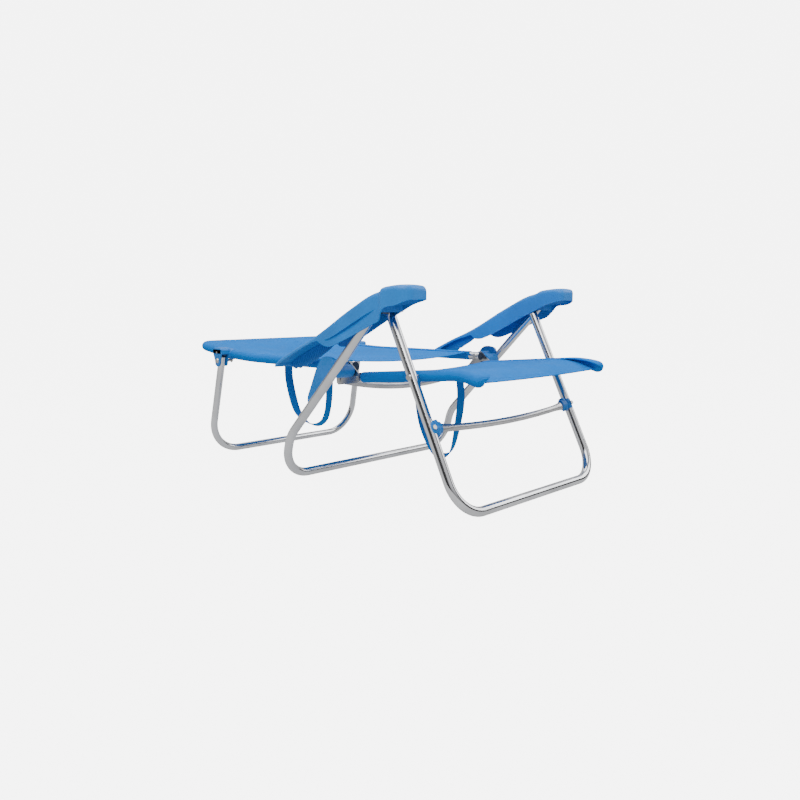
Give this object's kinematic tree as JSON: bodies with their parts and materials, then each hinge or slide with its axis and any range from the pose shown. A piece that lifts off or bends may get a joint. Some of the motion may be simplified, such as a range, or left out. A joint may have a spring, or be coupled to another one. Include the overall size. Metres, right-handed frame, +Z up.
{
  "type": "beach chair",
  "caption": "Low folding beach chair with a reclining sling seat and back on U-shaped tube legs, moulded armrests and webbing loops.",
  "frame": {"origin": "on the floor under the middle of the whole chair", "axes": "+Z up, -Y towards the front of the seat, +X towards the sitter's left"},
  "size_m": [0.658, 1.0648, 0.481],
  "materials": {
    "aluminium_tube": "polished",
    "steel_rivet": "satin",
    "blue_moulded": "satin",
    "arm_plastic": "satin",
    "dark_plastic": "matte",
    "sling_fabric": "woven",
    "blue_webbing": "woven"
  },
  "bodies": {
    "rear_legs": {"rear_leg_frame": "aluminium_tube", "rear_leg_left": "aluminium_tube", "rear_leg_right": "aluminium_tube", "rear_leg_plugs": "dark_plastic", "arm_axles": "steel_rivet", "axle_washers": "dark_plastic", "hinge_spacer_left": "blue_moulded", "hinge_spacer_right": "blue_moulded", "spacer_rivets": "steel_rivet", "leg_link_left": "blue_moulded", "leg_link_right": "blue_moulded", "link_rivets": "steel_rivet"},
    "front_legs": {"front_leg_frame": "aluminium_tube", "front_leg_plugs": "dark_plastic", "front_brace": "aluminium_tube", "brace_clip_left": "blue_moulded", "brace_clip_right": "blue_moulded", "brace_rivets": "steel_rivet", "seat_rivets": "steel_rivet"},
    "seat": {"seat_tube_left": "aluminium_tube", "seat_tube_right": "aluminium_tube", "seat_nose_plugs": "dark_plastic", "seat_rear_bar": "aluminium_tube", "hinge_plate_left": "steel_rivet", "hinge_plate_right": "steel_rivet", "plate_rivets": "steel_rivet", "hinge_pins": "steel_rivet", "seat_fabric": "sling_fabric", "strap_front": "blue_webbing"},
    "back": {"back_tube_left": "aluminium_tube", "back_tube_right": "aluminium_tube", "head_bar": "aluminium_tube", "back_tube_plugs": "dark_plastic", "back_fabric": "sling_fabric", "head_fabric": "sling_fabric", "notch_pins": "steel_rivet", "notch_rollers": "dark_plastic", "back_leg_bracket_left": "blue_moulded", "back_leg_bracket_right": "blue_moulded", "bracket_rivets": "steel_rivet", "back_leg_pins": "steel_rivet", "strap_rear": "blue_webbing"},
    "back_leg": {"back_leg_frame": "aluminium_tube", "back_leg_plugs": "dark_plastic"},
    "armrest_l": {"armrest_left": "arm_plastic", "arm_pad_ribs_left": "arm_plastic"},
    "armrest_r": {"armrest_right": "arm_plastic", "arm_pad_ribs_right": "arm_plastic"}
  },
  "joints": [
    {"name": "leg_fold", "type": "hinge", "parent": "rear_legs", "child": "front_legs", "pos_m": [0, -0.30223, 0.431], "axis": [1, 0, 0], "range_deg": [0, 50], "deforming": ["strap_front", "strap_rear"]},
    {"name": "seat_tilt", "type": "hinge", "parent": "front_legs", "child": "seat", "pos_m": [0, -0.37192, 0.29], "axis": [1, 0, 0], "range_deg": [-88, 0]},
    {"name": "back_recline", "type": "hinge", "parent": "seat", "child": "back", "pos_m": [0, -0.14837, 0.29638], "axis": [1, 0, 0], "range_deg": [0, 70]},
    {"name": "armrest_left_tilt", "type": "hinge", "parent": "rear_legs", "child": "armrest_l", "pos_m": [0, -0.30223, 0.431], "axis": [1, 0, 0], "range_deg": [0, 28]},
    {"name": "armrest_right_tilt", "type": "hinge", "parent": "rear_legs", "child": "armrest_r", "pos_m": [0, -0.30223, 0.431], "axis": [1, 0, 0], "range_deg": [0, 28]},
    {"name": "back_leg_fold", "type": "hinge", "parent": "back", "child": "back_leg", "pos_m": [0, 0.37363, 0.27908], "axis": [1, 0, 0], "range_deg": [-85, 0]}
  ],
  "couplings": [
    {"joint": "seat_tilt", "follows": "leg_fold", "ratio": -1.76},
    {"joint": "armrest_left_tilt", "follows": "back_recline", "ratio": 0.4},
    {"joint": "armrest_right_tilt", "follows": "back_recline", "ratio": 0.4}
  ]
}
